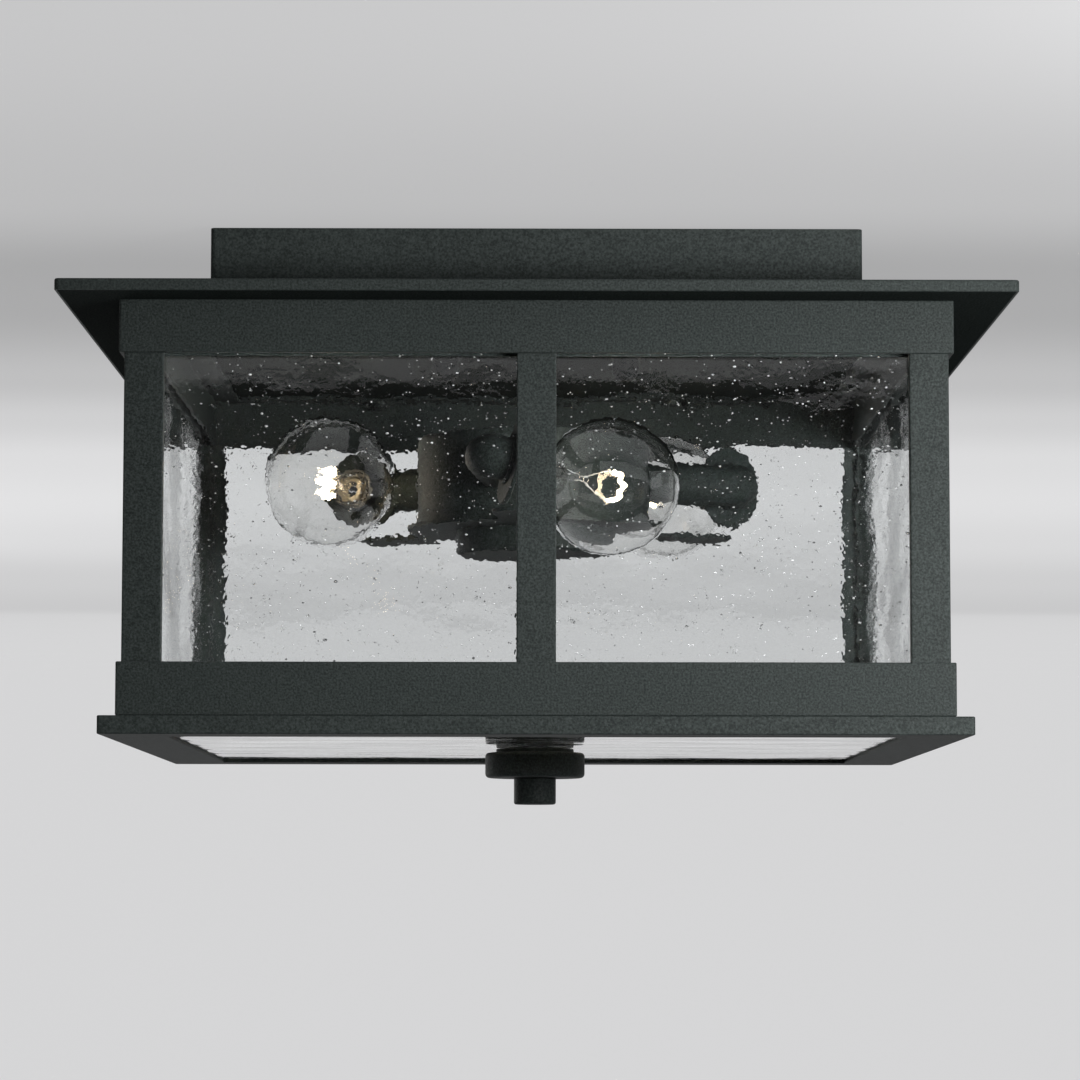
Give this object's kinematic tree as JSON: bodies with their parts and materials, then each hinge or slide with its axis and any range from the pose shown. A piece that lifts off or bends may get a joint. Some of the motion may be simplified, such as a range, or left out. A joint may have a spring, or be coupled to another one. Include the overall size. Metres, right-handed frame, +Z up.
{
  "type": "outdoor flush mount light",
  "caption": "Square flush mount ceiling lantern with a broad flat roof, seeded glass sides with centre bars, a drop-down glass tray and a turned finial.",
  "frame": {"origin": "centre of the mounting face, in the ceiling plane, on the upper face of the mounting bracket", "axes": "+Z up into the ceiling, -Y towards the viewer of the front, +X to the right of that viewer"},
  "size_m": [0.381, 0.381, 0.2324],
  "materials": {
    "black_coat": "fine textured black powder coat, low sheen",
    "zinc_steel": "zinc plated, slightly dull",
    "green_steel": "green coated earthing screw",
    "foam_seal": "closed cell foam",
    "rubber_black": "soft matt rubber",
    "seeded_glass": "clear wavy glass with many small seeds",
    "lamp_glass": "thin clear lamp glass",
    "lamp_brass": "bright rolled brass",
    "lamp_filament": "glowing tungsten",
    "socket_plastic": "moulded phenolic, matt black"
  },
  "bodies": {
    "lantern": {"mounting_bracket": "zinc_steel", "ground_screw": "green_steel", "mounting_studs": "zinc_steel", "stud_lock_nuts": "zinc_steel", "cap_nuts": "black_coat", "canopy": "black_coat", "canopy_seal": "foam_seal", "canopy_screws": "black_coat", "roof_plate": "black_coat", "roof_liner": "black_coat", "roof_screws": "black_coat", "top_frame": "black_coat", "bottom_frame": "black_coat", "frame_screws": "black_coat", "post_front_left": "black_coat", "post_front_right": "black_coat", "post_rear_left": "black_coat", "post_rear_right": "black_coat", "bar_front": "black_coat", "bar_right": "black_coat", "bar_rear": "black_coat", "bar_left": "black_coat", "glass_front": "seeded_glass", "glass_right": "seeded_glass", "glass_rear": "seeded_glass", "glass_left": "seeded_glass", "glazing_strips": "rubber_black", "stem": "zinc_steel", "stem_nuts": "zinc_steel", "wiring_canister": "black_coat", "arm_plate": "black_coat", "canister_cap": "black_coat", "socket_arm_1": "black_coat", "socket_arm_2": "black_coat", "socket_arm_3": "black_coat", "socket_1": "socket_plastic", "socket_2": "socket_plastic", "socket_3": "socket_plastic", "socket_shells": "lamp_brass"},
    "tray": {"bottom_tray": "black_coat", "bottom_glass": "seeded_glass", "glass_clips": "zinc_steel", "glass_grommet": "rubber_black"},
    "finial": {"finial_washer": "black_coat", "finial_disc": "black_coat", "finial_knob": "black_coat"},
    "lamp_1": {"lamp_base_1": "lamp_brass", "lamp_globe_1": "lamp_glass", "lamp_filament_1": "lamp_filament"},
    "lamp_2": {"lamp_base_2": "lamp_brass", "lamp_globe_2": "lamp_glass", "lamp_filament_2": "lamp_filament"},
    "lamp_3": {"lamp_base_3": "lamp_brass", "lamp_globe_3": "lamp_glass", "lamp_filament_3": "lamp_filament"}
  },
  "joints": [
    {"name": "tray_drop", "type": "slide", "parent": "lantern", "child": "tray", "axis": [0, 0, -1], "range_m": [0, 0.15]},
    {"name": "finial_turn", "type": "hinge", "parent": "tray", "child": "finial", "pos_m": [0, 0, -0.2098], "axis": [0, 0, -1], "range_deg": [0, 5310]},
    {"name": "lamp_1_turn", "type": "hinge", "parent": "lantern", "child": "lamp_1", "pos_m": [0.08701, 0.04057, -0.089], "axis": [-0.6691, 0.7431, 0], "range_deg": [0, 1710]},
    {"name": "lamp_2_turn", "type": "hinge", "parent": "lantern", "child": "lamp_2", "pos_m": [-0.07864, 0.05506, -0.089], "axis": [-0.309, -0.9511, 0], "range_deg": [0, 1710]},
    {"name": "lamp_3_turn", "type": "hinge", "parent": "lantern", "child": "lamp_3", "pos_m": [-0.00869, -0.0957, -0.09194], "axis": [0.9531, 0.2026, -0.225], "range_deg": [0, 1710]}
  ]
}
